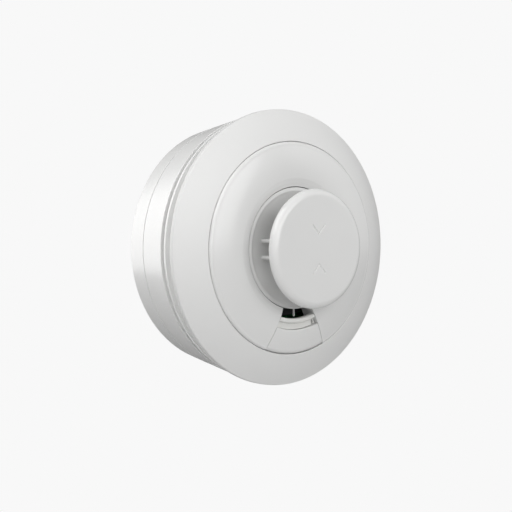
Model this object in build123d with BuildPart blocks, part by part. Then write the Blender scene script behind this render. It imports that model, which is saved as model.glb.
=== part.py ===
from build123d import *
import math
import os

# A wall-mounted heat detector, millimetres.
# The origin is the centre of the back face that lies on the wall. The front faces -Y, +Z is up and
# +X is to the right for someone who looks at the front. "Depth" below is the distance from the wall,
# so a point at depth d has y = -d. Angles are seen from the front, from +X towards +Z.

# ---- driving dimensions -------------------------------------------------------------------------
RIM_RADIUS = 63.0            # widest point, the edge of the front cover
BACK_RADIUS = 55.6           # back edge on the wall
HOUSING_RADIUS = 60.9        # front edge of the tapered side wall
HOUSING_FRONT = 28.7
WALL = 2.2                   # moulded wall thickness
BASE_FRONT = 12.3            # parting line between base and head, rear side
HEAD_BACK = 12.7             # parting line, front side
PLATE = 2.4                  # base plate thickness

SPIGOT_RADIUS = 50.2         # the head's round skirt that enters the base
SPIGOT_BACK = 4.6
LUG_RADIUS = 53.0
LUG_BACK, LUG_FRONT = 6.2, 8.6
LEDGE_RADIUS = 51.2
LEDGE_BACK, LEDGE_FRONT = 9.2, 11.0
LUG_ANGLES = (90, 210, 330)

SCREW_SLOT_X = 38.0          # wall screw slots left and right of the centre
SCREW_SLOT_WIDTH = 4.4
SCREW_SLOT_LENGTH = 9.0

FLOOR_BACK, FLOOR_FRONT = 24.4, 26.4      # the head's inner floor
FRAME_INNER, FRAME_OUTER = 56.0, 58.2     # middle frame tube
NECK_RADIUS = 57.4           # its slimmer neck inside the rear housing
FLANGE_RADIUS = 61.1
FLANGE_BACK, FLANGE_FRONT = 32.3, 33.5
BOARD_RADIUS = 54.5
BOARD_BACK, BOARD_FRONT = 29.7, 31.3

RIM_BACK = 39.1              # back edge of the front cover
RIM_DEPTH = 40.4             # depth of the widest circle
SEAM_RADIUS = 48.3           # seam between front cover and inner cover
SEAM_DEPTH = 47.9
SEAM_GAP = 0.3
CREST_RADIUS, CREST_DEPTH = 31.6, 51.1
BOWL_LINE_RADIUS = 27.7      # seam between inner cover and sensor bowl
BOWL_GAP = 0.34
BOWL_HOLE = 8.0

KEY_CENTRE = -90             # the test key lies at the bottom
KEY_SIDE_ANGLE = 27.0        # each side of the test key leans out from its middle line
KEY_APEX = 10.6              # radius where the lines of the two sides meet
KEY_GAP = 0.25
KEY_WALL = 1.7               # walls beside the test key
WINDOW_HALF_ANGLE = 23.0     # dark shelf behind the window
KEY_INNER = 37.05            # inner end of the key panel
GUIDE_INNER, GUIDE_OUTER = 31.9, 36.85
KEY_PIVOT_Z, KEY_PIVOT_DEPTH = -42.6, 45.6
PIVOT_PIN_RADIUS = 1.0
PIVOT_REACH = 18.0           # half the length over both pins
PIVOT_BORE_RADIUS = 1.08
KEY_POST = (-8.0, -36.8)     # where the key presses its switch

CAP_RADIUS = 26.8
CAP_FRONT = 66.0
CAP_EDGE = 62.6
FIN_OFFSET = 3.75            # half the distance between the two fins of a pair
FIN_THICKNESS = 1.8
FIN_INNER, FIN_OUTER = 12.6, 18.0

CELL_RADIUS, CELL_LENGTH = 7.1, 49.2      # AA cell without its nub
CELL_DEPTH = 15.9
CELL_PITCH = 16.0
HOLDER_X, HOLDER_Z = 30.5, 24.8           # half sizes of the battery holder
HOLDER_BACK = 7.6
BAY_HALF_LENGTH = 28.6
POWER_PINS_X = (-29.55, 29.55)

TAMPER_Z = 38.0              # tamper plunger above the battery holder
BOARD_SCREWS = [(42.0, angle) for angle in (135, 225, 335)]
HOUSING_SCREWS = [(53.0, angle) for angle in (20, 110, 200, 290)]

os.makedirs("parts", exist_ok=True)


# ---- helpers ------------------------------------------------------------------------------------
def outer_radius(depth):
    """Radius of the tapered side wall at a depth."""
    return BACK_RADIUS + (HOUSING_RADIUS - BACK_RADIUS) * depth / HOUSING_FRONT


def front(depth):
    """Plane parallel to the wall, seen from the front, with x to the right and y up."""
    return Plane.XZ.offset(depth)


def polar(radius, angle):
    """Point of a front plane at a radius and an angle in degrees."""
    return (radius * math.cos(math.radians(angle)), radius * math.sin(math.radians(angle)))


def section(points):
    """Closed half section of (radius, depth) points, to be turned about the detector's axis."""
    with BuildSketch(Plane.XY) as outline:
        with BuildLine():
            Polyline([(radius, -depth) for radius, depth in points], close=True)
        make_face()
    return outline.sketch


def ring_sector(plane, inner, outer, centre_angle, half_angle):
    """Piece of a flat ring between two radii, within half_angle of centre_angle."""
    reach = 2 * outer
    corners = [(0, 0), polar(reach, centre_angle - half_angle), polar(reach, centre_angle + half_angle)]
    with BuildSketch(plane) as sector:
        Circle(outer)
        Circle(inner, mode=Mode.SUBTRACT)
        with BuildLine():
            Polyline(corners, close=True)
        make_face(mode=Mode.INTERSECT)
    return sector.sketch


def key_sector(plane, inner, outer, margin):
    """Piece of a flat ring between the sides of the test key, each moved out by the margin."""
    apex = Vector(*polar(KEY_APEX - margin / math.sin(math.radians(KEY_SIDE_ANGLE)), KEY_CENTRE))
    ends = [apex + Vector(*polar(2 * outer, KEY_CENTRE + side * KEY_SIDE_ANGLE)) for side in (-1, 1)]
    with BuildSketch(plane) as sector:
        Circle(outer)
        Circle(inner, mode=Mode.SUBTRACT)
        with BuildLine():
            Polyline([apex, *ends], close=True)
        make_face(mode=Mode.INTERSECT)
    return sector.sketch


def disc(centre, radius, depth):
    """Disc parallel to the wall."""
    with BuildSketch(front(depth)) as face:
        with Locations(centre):
            Circle(radius)
    return face.sketch


def block(centre, width, height, depth):
    """Rectangle parallel to the wall."""
    with BuildSketch(front(depth)) as face:
        with Locations(centre):
            Rectangle(width, height)
    return face.sketch


def arc_points(start, middle, end, count):
    """Points along the circular arc through three (radius, depth) points, ends included."""
    arc = ThreePointArc(start, middle, end)
    return [((arc @ (step / count)).X, (arc @ (step / count)).Y) for step in range(count + 1)]


def save(piece, name):
    """Label a finished sub-part and write it."""
    piece.part.label = name
    export_step(piece.part, f"parts/{name}.step")


# ---- base on the wall ---------------------------------------------------------------------------
with BuildPart() as mounting_base:
    revolve(
        section([
            (0, 0),
            (BACK_RADIUS - 0.5, 0),
            (outer_radius(0.6), 0.6),
            (outer_radius(BASE_FRONT), BASE_FRONT),
            (outer_radius(BASE_FRONT) - WALL, BASE_FRONT),
            (outer_radius(PLATE) - WALL, PLATE),
            (0, PLATE),
        ]),
        axis=Axis.Y,
    )
    ledge_root = outer_radius(LEDGE_BACK) - WALL / 2
    for lug_angle in LUG_ANGLES:
        extrude(ring_sector(front(LEDGE_BACK), LEDGE_RADIUS, ledge_root, lug_angle, 9),
                amount=LEDGE_FRONT - LEDGE_BACK)
        extrude(ring_sector(front(PLATE), LEDGE_RADIUS, outer_radius(PLATE) - 1, lug_angle - 10.5, 1.5),
                amount=LEDGE_FRONT - PLATE)
    with BuildSketch(front(0)):
        with Locations((-SCREW_SLOT_X, 0), (SCREW_SLOT_X, 0)):
            SlotOverall(SCREW_SLOT_LENGTH, SCREW_SLOT_WIDTH)
    extrude(amount=PLATE, mode=Mode.SUBTRACT)
save(mounting_base, "mounting_base")

# ---- head: rear housing, middle frame, front cover ----------------------------------------------
with BuildPart() as rear_housing:
    shoulder = HEAD_BACK + 2
    revolve(
        section([
            (SPIGOT_RADIUS, SPIGOT_BACK),
            (SPIGOT_RADIUS, HEAD_BACK),
            (outer_radius(HEAD_BACK), HEAD_BACK),
            (HOUSING_RADIUS, HOUSING_FRONT),
            (HOUSING_RADIUS - WALL, HOUSING_FRONT),
            (outer_radius(FLOOR_FRONT) - WALL, FLOOR_FRONT),
            (0, FLOOR_FRONT),
            (0, FLOOR_BACK),
            (outer_radius(FLOOR_BACK) - WALL, FLOOR_BACK),
            (outer_radius(shoulder) - WALL, shoulder),
            (SPIGOT_RADIUS - WALL, shoulder),
            (SPIGOT_RADIUS - WALL, SPIGOT_BACK),
        ]),
        axis=Axis.Y,
    )
    for lug_angle in LUG_ANGLES:
        extrude(ring_sector(front(LUG_BACK), SPIGOT_RADIUS - 1, LUG_RADIUS, lug_angle, 8),
                amount=LUG_FRONT - LUG_BACK)
    # bosses that carry the circuit board, each with a screw hole
    for screw in BOARD_SCREWS:
        extrude(disc(polar(*screw), 3.2, FLOOR_FRONT), amount=BOARD_BACK - FLOOR_FRONT)
        extrude(disc(polar(*screw), 1.2, FLOOR_BACK + 0.8), amount=6, mode=Mode.SUBTRACT)
    # screwdriver access in the shoulder and holes in the floor for the housing screws
    for screw in HOUSING_SCREWS:
        extrude(disc(polar(*screw), 2.6, HEAD_BACK), amount=2, mode=Mode.SUBTRACT)
        extrude(disc(polar(*screw), 1.6, FLOOR_BACK), amount=2, mode=Mode.SUBTRACT)
    # guide tube of the tamper plunger and the hole for its stem
    extrude(disc((0, TAMPER_Z), 4.6, 10), amount=FLOOR_BACK - 10)
    extrude(disc((0, TAMPER_Z), 3.4, 10), amount=FLOOR_BACK - 10, mode=Mode.SUBTRACT)
    extrude(disc((0, TAMPER_Z), 1.9, FLOOR_BACK), amount=2, mode=Mode.SUBTRACT)
    # holes for the two power pins
    for pin_x in POWER_PINS_X:
        extrude(disc((pin_x, 0), 1.0, FLOOR_BACK), amount=2, mode=Mode.SUBTRACT)
save(rear_housing, "rear_housing")

with BuildPart() as middle_frame:
    ledge_back, ledge_front = 28.1, 29.6
    revolve(
        section([
            (FRAME_INNER, FLOOR_FRONT + 0.1),
            (NECK_RADIUS, FLOOR_FRONT + 0.1),
            (NECK_RADIUS, FLANGE_BACK),
            (FLANGE_RADIUS - 0.2, FLANGE_BACK),
            (FLANGE_RADIUS, FLANGE_BACK + 0.2),
            (FLANGE_RADIUS, FLANGE_FRONT - 0.2),
            (FLANGE_RADIUS - 0.2, FLANGE_FRONT),
            (FRAME_OUTER + 0.3, FLANGE_FRONT),
            (FRAME_OUTER + 0.3, RIM_BACK + 0.3),
            (FRAME_INNER, RIM_BACK + 0.3),
            (FRAME_INNER, ledge_front),
            (49.5, ledge_front),
            (49.5, ledge_back),
            (FRAME_INNER, ledge_back),
        ]),
        axis=Axis.Y,
    )
    for screw in HOUSING_SCREWS:
        extrude(disc(polar(*screw), 2.8, FLOOR_FRONT), amount=ledge_back - FLOOR_FRONT)
        extrude(disc(polar(*screw), 1.25, FLOOR_FRONT), amount=2.8, mode=Mode.SUBTRACT)
save(middle_frame, "middle_frame")

with BuildPart() as front_cover:
    rounding_end = (62.35, 41.35)
    dome_middle = (55.6, 45.1)
    dome_end = (SEAM_RADIUS + SEAM_GAP / 2, SEAM_DEPTH)
    edge = arc_points((RIM_RADIUS, RIM_DEPTH), (62.83, 41.0), rounding_end, 4)
    dome = arc_points(rounding_end, dome_middle, dome_end, 10)
    outside = edge + dome[1:]
    revolve(
        section([
            (FRAME_OUTER + 0.6, RIM_BACK),
            (RIM_RADIUS - 0.3, RIM_BACK),
            *outside,
            (dome_end[0], 45.6),
            (45.8, 45.6),
            (45.8, 44.2),
            (51.5, 44.2),
            (54.0, 43.6),
            (54.0, BOARD_FRONT + 0.3),
            (55.6, BOARD_FRONT + 0.3),
            (55.6, 42.9),
            (FRAME_OUTER + 0.6, 41.4),
        ]),
        axis=Axis.Y,
    )
    # the seam ledge is open behind the test key
    extrude(key_sector(front(44), 45, SEAM_RADIUS + SEAM_GAP / 2, 3.5), amount=3, mode=Mode.SUBTRACT)
save(front_cover, "front_cover")

# ---- inner cover and test key share one convex surface ------------------------------------------
shoulder_start = (SEAM_RADIUS - SEAM_GAP / 2, 47.4)
shoulder_end = (46.6, 48.95)
crest = (CREST_RADIUS, CREST_DEPTH)
bowl_edge = (BOWL_LINE_RADIUS + BOWL_GAP / 2, 50.35)
cover_shoulder = arc_points(shoulder_start, (47.65, 48.45), shoulder_end, 4)
cover_dome = arc_points(shoulder_end, (39.2, 50.6), crest, 8)
cover_lip = arc_points(crest, (29.75, 50.87), bowl_edge, 3)

with BuildPart() as inner_cover:
    revolve(
        section([
            *cover_shoulder,
            *cover_dome[1:],
            *cover_lip[1:],
            (bowl_edge[0], 42.2),
            (BOWL_LINE_RADIUS + 1.6, 42.2),
            (BOWL_LINE_RADIUS + 1.6, 48.4),
            (CREST_RADIUS, 49.2),
            (39.2, 48.7),
            (45.9, 47.2),
            (45.9, 45.7),
            (shoulder_start[0], 45.7),
        ]),
        axis=Axis.Y,
    )
    # well of the test key: open sector with a wall on each side
    extrude(key_sector(front(43.2), BOWL_LINE_RADIUS + 0.5, 48.0, KEY_WALL), amount=4.4)
    extrude(key_sector(front(40), 10, 60, 0), amount=15, mode=Mode.SUBTRACT)
    with BuildSketch(Plane.YZ.offset(-25)):
        with Locations((-KEY_PIVOT_DEPTH, KEY_PIVOT_Z)):
            Circle(PIVOT_BORE_RADIUS)
    extrude(amount=50, mode=Mode.SUBTRACT)
save(inner_cover, "inner_cover")

with BuildPart() as test_key:
    panel_top = [point for point in cover_dome if point[0] > KEY_INNER + 0.6]
    revolve(
        section([
            (shoulder_start[0] - 0.2, 46.9),
            (shoulder_start[0] - 0.2, 47.4),
            (47.4, 48.4),
            *panel_top,
            (KEY_INNER + 0.3, 50.75),
            (KEY_INNER, 50.45),
            (KEY_INNER, 48.6),
            (46.0, 46.9),
        ]),
        axis=Axis.Y,
    )
    extrude(key_sector(front(44), 5, 55, -KEY_GAP), amount=10, mode=Mode.INTERSECT)
    # arms that hold the light guide, lugs with the pivot pins, and the post that works the switch
    extrude(key_sector(front(46.6), 33.2, 39.0, -KEY_GAP - 0.2), amount=1.0)
    extrude(key_sector(front(47.5), 37.2, 39.0, -KEY_GAP - 0.2), amount=1.6)
    for lug_x in (-12.6, 12.6):
        extrude(block((lug_x, KEY_PIVOT_Z), 1.8, 3.6, KEY_PIVOT_DEPTH - 1.6), amount=3.8)
    with BuildSketch(Plane.YZ.offset(-PIVOT_REACH)):
        with Locations((-KEY_PIVOT_DEPTH, KEY_PIVOT_Z)):
            Circle(PIVOT_PIN_RADIUS)
    extrude(amount=2 * PIVOT_REACH)
    extrude(disc(KEY_POST, 1.4, 38.2), amount=8.6)
save(test_key, "test_key")

with BuildPart() as light_guide:
    lip = arc_points((GUIDE_INNER, 50.1), (32.9, 51.05), (34.0, 50.3), 6)
    revolve(
        section([
            (GUIDE_INNER, 47.7),
            *lip,
            (34.15, 49.3),
            (GUIDE_OUTER, 49.1),
            (GUIDE_OUTER, 47.7),
        ]),
        axis=Axis.Y,
    )
    extrude(key_sector(front(40), 5, 55, -KEY_GAP - 0.1), amount=15, mode=Mode.INTERSECT)
    # notch at the right end of the recessed strip
    extrude(ring_sector(front(48.1), 34.6, 36.2, KEY_CENTRE + 16.2, 1.1), amount=3, mode=Mode.SUBTRACT)
save(light_guide, "light_guide")

# ---- sensor bowl and cap ------------------------------------------------------------------------
bowl_outside = BOWL_LINE_RADIUS - BOWL_GAP / 2
bowl_rim = arc_points((bowl_outside, 50.1), (26.8, 50.22), (25.8, 50.0), 3)
bowl_slope = arc_points((25.8, 50.0), (18.0, 47.1), (BOWL_HOLE, 46.0), 6)

with BuildPart() as sensor_bowl:
    revolve(
        section([
            *bowl_rim,
            *bowl_slope[1:],
            (BOWL_HOLE, 44.4),
            (17.5, 45.0),
            (24.0, 47.1),
            (25.0, 45.6),
            (bowl_outside, 45.6),
        ]),
        axis=Axis.Y,
    )
    # thin bar across the window
    extrude(ring_sector(front(45.8), BOWL_LINE_RADIUS - 1, GUIDE_INNER - 0.7, KEY_CENTRE + 0.3, 0.5),
            amount=2.6)
save(sensor_bowl, "sensor_bowl")

with BuildPart() as sensor_cap:
    cap_round = arc_points((23.4, CAP_FRONT), (25.85, 65.05), (CAP_RADIUS, CAP_EDGE + 0.6), 6)
    revolve(
        section([
            (0, CAP_FRONT),
            *cap_round,
            (CAP_RADIUS - 0.1, CAP_EDGE),
            (CAP_RADIUS - 1.0, CAP_EDGE),
            (24.4, 63.4),
            (0, 63.4),
        ]),
        axis=Axis.Y,
    )
    # four pairs of fins with rounded outer edges, standing on the bowl
    fin_middle = (FIN_INNER + FIN_OUTER) / 2
    with BuildSketch(front(40)):
        with PolarLocations(0, 4):
            with Locations((fin_middle, FIN_OFFSET), (fin_middle, -FIN_OFFSET)):
                SlotOverall(FIN_OUTER - FIN_INNER, FIN_THICKNESS)
    extrude(amount=24)
    revolve(
        section([
            (0, 30),
            (40, 30),
            (40, 49.0),
            (24.6, 49.02),
            *[(radius, depth + 0.02) for radius, depth in bowl_slope[1:]],
            (0, bowl_slope[-1][1] + 0.02),
        ]),
        axis=Axis.Y,
        mode=Mode.SUBTRACT,
    )
    # two shallow arrow marks that point at each other
    for tip_z, rise in ((6.8, 4.0), (-6.8, -4.0)):
        with BuildSketch(front(CAP_FRONT - 0.35)):
            with BuildLine():
                arrow = Polyline((-3.6, tip_z + rise), (0, tip_z), (3.6, tip_z + rise))
                offset(arrow, amount=0.3, side=Side.BOTH)
            make_face()
        extrude(amount=1, mode=Mode.SUBTRACT)
save(sensor_cap, "sensor_cap")

# ---- sensor under the cap -----------------------------------------------------------------------
with BuildPart() as chamber_body:
    revolve(
        section([
            (0, BOARD_FRONT + 0.1),
            (26.0, BOARD_FRONT + 0.1),
            (26.0, 41.2),
            (24.0, 41.2),
            (24.0, 33.4),
            (0, 33.4),
        ]),
        axis=Axis.Y,
    )
    # dark floor of the window beside the test key
    extrude(ring_sector(front(39.8), 25.0, 31.4, KEY_CENTRE, WINDOW_HALF_ANGLE), amount=1.4)
    for leg_x in (-1.3, 1.3):
        extrude(disc((leg_x, 0), 0.7, BOARD_FRONT), amount=3, mode=Mode.SUBTRACT)
save(chamber_body, "chamber_body")

with BuildPart() as chamber_lid:
    extrude(disc((0, 0), 23.7, 39.6), amount=1.6)
    extrude(disc((0, 0), 5.2, 39.6), amount=1.6, mode=Mode.SUBTRACT)
save(chamber_lid, "chamber_lid")

with BuildPart() as sensor_post:
    revolve(
        section([(0, 33.5), (6.5, 33.5), (6.5, 34.6), (4.9, 35.6), (4.2, 42), (2.6, 48.5), (0, 48.5)]),
        axis=Axis.Y,
    )
    for leg_x in (-1.3, 1.3):
        extrude(disc((leg_x, 0), 0.45, 33), amount=20, mode=Mode.SUBTRACT)
save(sensor_post, "sensor_post")

with BuildPart() as thermistor:
    for leg_x in (-1.3, 1.3):
        extrude(disc((leg_x, 0), 0.3, BOARD_FRONT + 0.05), amount=25.5)
    with Locations((0, -57.2, 0)):
        Sphere(1.9)
save(thermistor, "thermistor")

# ---- circuit board and what stands on it --------------------------------------------------------
with BuildPart() as circuit_board:
    extrude(disc((0, 0), BOARD_RADIUS, BOARD_BACK), amount=BOARD_FRONT - BOARD_BACK)
    for screw in BOARD_SCREWS:
        extrude(disc(polar(*screw), 1.4, BOARD_BACK), amount=2, mode=Mode.SUBTRACT)
    for pin_x in POWER_PINS_X:
        extrude(disc((pin_x, 0), 0.8, BOARD_BACK), amount=2, mode=Mode.SUBTRACT)
save(circuit_board, "circuit_board")

sounder_centre = (0, 40.6)
with BuildPart() as sounder_housing:
    extrude(disc(sounder_centre, 12.6, BOARD_FRONT + 0.05), amount=10.6)
    extrude(disc(sounder_centre, 11.4, BOARD_FRONT + 1.2), amount=8.2, mode=Mode.SUBTRACT)
    extrude(disc(sounder_centre, 2.5, 38), amount=10, mode=Mode.SUBTRACT)
save(sounder_housing, "sounder_housing")

with BuildPart() as piezo_disc:
    extrude(disc(sounder_centre, 11.3, 35.0), amount=0.3)
    extrude(disc(sounder_centre, 8.0, 35.3), amount=0.3)
save(piezo_disc, "piezo_disc")

with BuildPart() as radio_module:
    extrude(block((41, 4), 16, 22, BOARD_FRONT + 0.05), amount=1.0)
save(radio_module, "radio_module")

with BuildPart() as radio_shield:
    extrude(block((41, 2), 14, 15, BOARD_FRONT + 1.1), amount=2.6)
    fillet(radio_shield.edges().filter_by(Axis.Y), 0.8)
save(radio_shield, "radio_shield")

with BuildPart() as antenna:
    antenna_radius, antenna_depth = 50.5, 35.0
    with BuildLine(front(antenna_depth)) as antenna_path:
        CenterArc((0, 0), antenna_radius, 24, 44)
    with BuildSketch(Plane(origin=antenna_path.line @ 0, z_dir=antenna_path.line % 0)):
        Circle(0.5)
    sweep()
    extrude(disc(polar(antenna_radius, 24.6), 0.5, BOARD_FRONT + 0.05), amount=antenna_depth - BOARD_FRONT)
save(antenna, "antenna")

with BuildPart() as microcontroller:
    extrude(block((-38, 18), 10, 10, BOARD_FRONT + 0.05), amount=1.4)
save(microcontroller, "microcontroller")

with BuildPart() as capacitors:
    for centre in ((-40, -2), (-34, -14), (34, -22)):
        extrude(disc(centre, 3.1, BOARD_FRONT + 0.05), amount=6.5)
    fillet(capacitors.faces().sort_by(Axis.Y)[:3].edges(), 0.5)
save(capacitors, "capacitors")

with BuildPart() as status_led:
    extrude(disc((0, -34.6), 1.9, BOARD_FRONT + 0.05), amount=1.0)
    extrude(disc((0, -34.6), 1.5, BOARD_FRONT + 1.05), amount=4.0)
    fillet(status_led.faces().sort_by(Axis.Y)[0].edges(), 1.2)
save(status_led, "status_led")

with BuildPart() as test_switch:
    extrude(block(KEY_POST, 6, 6, BOARD_FRONT + 0.05), amount=3.6)
    extrude(disc(KEY_POST, 1.8, BOARD_FRONT + 1.8), amount=3, mode=Mode.SUBTRACT)
save(test_switch, "test_switch")

with BuildPart() as switch_plunger:
    extrude(disc(KEY_POST, 1.6, BOARD_FRONT + 2.5), amount=4.2)
save(switch_plunger, "switch_plunger")

# ---- tamper contact behind the board ------------------------------------------------------------
with BuildPart() as tamper_switch:
    extrude(block((0, TAMPER_Z), 6, 6, BOARD_BACK - 2.0), amount=1.95)
save(tamper_switch, "tamper_switch")

with BuildPart() as tamper_plunger:
    extrude(disc((0, TAMPER_Z), 3.0, PLATE + 0.4), amount=8.6)
    extrude(disc((0, TAMPER_Z), 1.6, 10), amount=15.8)
    fillet(tamper_plunger.faces().sort_by(Axis.Y)[-1].edges(), 0.8)
save(tamper_plunger, "tamper_plunger")

with BuildPart() as tamper_spring:
    with BuildLine() as coil:
        Helix(pitch=1.9, height=11.6, radius=2.4, center=(0, -12.0, TAMPER_Z), direction=(0, -1, 0))
    with BuildSketch(Plane(origin=coil.line @ 0, z_dir=coil.line % 0)):
        Circle(0.3)
    sweep()
save(tamper_spring, "tamper_spring")

# ---- power: three AA cells in a holder that opens towards the wall -------------------------------
cell_rows = (-CELL_PITCH, 0, CELL_PITCH)
with BuildPart() as battery_holder:
    extrude(block((0, 0), 2 * HOLDER_X, 2 * HOLDER_Z, HOLDER_BACK), amount=FLOOR_BACK - HOLDER_BACK - 0.05)
    for row in cell_rows:
        extrude(block((0, row), 2 * BAY_HALF_LENGTH, CELL_PITCH - 1.2, HOLDER_BACK),
                amount=CELL_DEPTH + CELL_RADIUS + 0.2 - HOLDER_BACK, mode=Mode.SUBTRACT)
    for pin_x in POWER_PINS_X:
        extrude(disc((pin_x, 0), 0.8, FLOOR_BACK - 1.3), amount=1.3, mode=Mode.SUBTRACT)
save(battery_holder, "battery_holder")

for number, row in enumerate(cell_rows, start=1):
    heading = 1 if number != 2 else -1
    with BuildPart() as cell:
        with BuildSketch(Plane.YZ.offset(-CELL_LENGTH / 2)):
            with Locations((-CELL_DEPTH, row)):
                Circle(CELL_RADIUS)
        extrude(amount=CELL_LENGTH)
        fillet(cell.edges().filter_by(GeomType.CIRCLE), 0.6)
        with BuildSketch(Plane.YZ.offset(heading * CELL_LENGTH / 2)):
            with Locations((-CELL_DEPTH, row)):
                Circle(2.7)
        extrude(amount=heading * 1.3)
    save(cell, f"battery_{number}")

with BuildPart() as battery_contacts:
    for row, heading in zip(cell_rows, (1, -1, 1)):
        plate_x = heading * (BAY_HALF_LENGTH - 0.3)
        with BuildSketch(Plane.YZ.offset(plate_x - 0.2)):
            with Locations((-CELL_DEPTH, row)):
                Rectangle(9, 11)
        extrude(amount=0.4)
        button_x = heading * (CELL_LENGTH / 2 + 1.35)
        with BuildSketch(Plane.YZ.offset(button_x)):
            with Locations((-CELL_DEPTH, row)):
                Circle(2.2)
        extrude(amount=plate_x - button_x)
save(battery_contacts, "battery_contacts")

with BuildPart() as battery_springs:
    for row, heading in zip(cell_rows, (-1, 1, -1)):
        start_x = heading * (BAY_HALF_LENGTH - 0.5)
        with BuildLine() as coil:
            Helix(pitch=1.1, height=2.9, radius=3.2, center=(start_x, -CELL_DEPTH, row),
                  direction=(-heading, 0, 0))
        with BuildSketch(Plane(origin=coil.line @ 0, z_dir=coil.line % 0)):
            Circle(0.35)
        sweep(path=coil.line)
save(battery_springs, "battery_springs")

with BuildPart() as power_pins:
    for pin_x in POWER_PINS_X:
        extrude(disc((pin_x, 0), 0.6, FLOOR_BACK - 1.2), amount=BOARD_FRONT + 0.6 - FLOOR_BACK + 1.2)
save(power_pins, "power_pins")

# ---- fasteners ----------------------------------------------------------------------------------
with BuildPart() as board_screws:
    for screw in BOARD_SCREWS:
        extrude(disc(polar(*screw), 1.1, FLOOR_BACK + 1.2), amount=BOARD_FRONT - FLOOR_BACK - 1.15)
        extrude(disc(polar(*screw), 2.3, BOARD_FRONT + 0.05), amount=1.6)
        extrude(block(polar(*screw), 0.7, 2.6, BOARD_FRONT + 1.0), amount=2, mode=Mode.SUBTRACT)
        extrude(block(polar(*screw), 2.6, 0.7, BOARD_FRONT + 1.0), amount=2, mode=Mode.SUBTRACT)
save(board_screws, "board_screws")

with BuildPart() as housing_screws:
    for screw in HOUSING_SCREWS:
        extrude(disc(polar(*screw), 1.15, FLOOR_BACK - 0.05), amount=4.6)
        extrude(disc(polar(*screw), 2.4, FLOOR_BACK - 1.85), amount=1.8)
        extrude(block(polar(*screw), 0.7, 2.8, FLOOR_BACK - 1.85), amount=0.9, mode=Mode.SUBTRACT)
        extrude(block(polar(*screw), 2.8, 0.7, FLOOR_BACK - 1.85), amount=0.9, mode=Mode.SUBTRACT)
save(housing_screws, "housing_screws")
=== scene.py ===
"""Looks of a wall-mounted heat detector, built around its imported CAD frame.

The frame's origin is the centre of the back face. The front faces -Y and +Z is up. "Depth" is the
distance in front of the wall, so y = -depth. Half sections are (radius, depth) points in millimetres.
"""

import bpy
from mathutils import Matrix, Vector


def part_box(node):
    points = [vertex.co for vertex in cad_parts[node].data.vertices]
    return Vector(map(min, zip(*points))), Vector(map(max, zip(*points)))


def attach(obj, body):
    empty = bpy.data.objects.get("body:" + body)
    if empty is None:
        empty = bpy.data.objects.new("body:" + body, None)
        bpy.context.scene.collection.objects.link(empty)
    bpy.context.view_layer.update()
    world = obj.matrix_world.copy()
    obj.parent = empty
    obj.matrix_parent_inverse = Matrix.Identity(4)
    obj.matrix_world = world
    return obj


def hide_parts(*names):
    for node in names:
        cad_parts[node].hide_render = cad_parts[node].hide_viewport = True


bl_info = {
    "name": "Heat Detector",
    "version": (1, 0, 0),
    "blender": (4, 5, 0),
    "location": "View3D > Sidebar > Detector",
    "description": "Makes the visible mouldings, materials and studio of a round heat detector",
    "category": "Add Mesh",
}

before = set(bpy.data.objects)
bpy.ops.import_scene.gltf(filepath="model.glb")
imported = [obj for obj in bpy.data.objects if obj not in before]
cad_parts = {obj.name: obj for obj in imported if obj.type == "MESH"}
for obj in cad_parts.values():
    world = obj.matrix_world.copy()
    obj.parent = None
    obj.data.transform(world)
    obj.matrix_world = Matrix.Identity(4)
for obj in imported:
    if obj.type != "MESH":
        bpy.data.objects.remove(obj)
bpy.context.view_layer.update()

import math

import bmesh
import bpy
import numpy as np
from mathutils import Matrix, Vector

MM = 0.001
FINE, COARSE = 360, 96          # facets round a large moulding and round a small one
KEY_ANGLE = -90                 # the test key lies at the bottom
KEY_SIDE_ANGLE, KEY_APEX = 27.0, 10.6       # its sides lean out by this angle from a common point
BACK_RADIUS, WALL, PLATE = 55.6, 2.2, 2.4   # back edge, moulded wall and base plate
RIM_DEPTH = 40.4                # depth of the widest circle
BAYONET_ANGLES = (90, 210, 330)             # lugs on the head and the ledges that hold them
TAMPER_Z = 38.0                 # the tamper plunger stands this far above the centre
COLOUR_A, COLOUR_B, COLOUR_OUT = 6, 7, 2    # colour sockets of a Mix node, which share their names
BACKDROP_LIGHT, AMBIENT_LIGHT = 0.939, 0.06
# each softbox: name, azimuth, elevation, distance, width, height and power
SOFTBOXES = (
    ("front_softbox", 0, 17, 1.5, 1.5, 1.0, 12.5),
    ("right_softbox", 68, 18, 1.5, 1.4, 1.2, 5.0),
    ("left_softbox", -45, 14, 1.5, 1.3, 1.0, 4.0),
    ("high_softbox", -80, 48, 1.5, 1.2, 1.2, 16.0),
    ("rear_softbox", -152, 12, 1.5, 1.2, 1.3, 11.0),
)


def span(node):
    """Largest radius, back depth and front depth of a round CAD node, in millimetres."""
    low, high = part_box(node)
    return high.x / MM, -high.y / MM, -low.y / MM


RIM_RADIUS, _, SEAM_DEPTH = span("front_cover")
HOUSING_RADIUS, SPIGOT_BACK, HOUSING_FRONT = span("rear_housing")
FLANGE_RADIUS, FRAME_BACK, FRAME_FRONT = span("middle_frame")
BASE_RADIUS, _, BASE_FRONT = span("mounting_base")
SEAM_RADIUS, COLLAR_BACK, CREST_DEPTH = span("inner_cover")
CAP_RADIUS, _, CAP_FRONT = span("sensor_cap")
CHAMBER_RADIUS, CHAMBER_BACK, CHAMBER_FRONT = span("chamber_body")


# ---- settings a user would change -----------------------------------------------------------------
def linear(hex_colour):
    """Linear RGB of an sRGB hex colour."""
    parts = np.array([int(hex_colour[place:place + 2], 16) for place in (1, 3, 5)]) / 255
    return tuple(np.where(parts <= 0.04045, parts / 12.92, ((parts + 0.055) / 1.055) ** 2.4))


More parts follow.
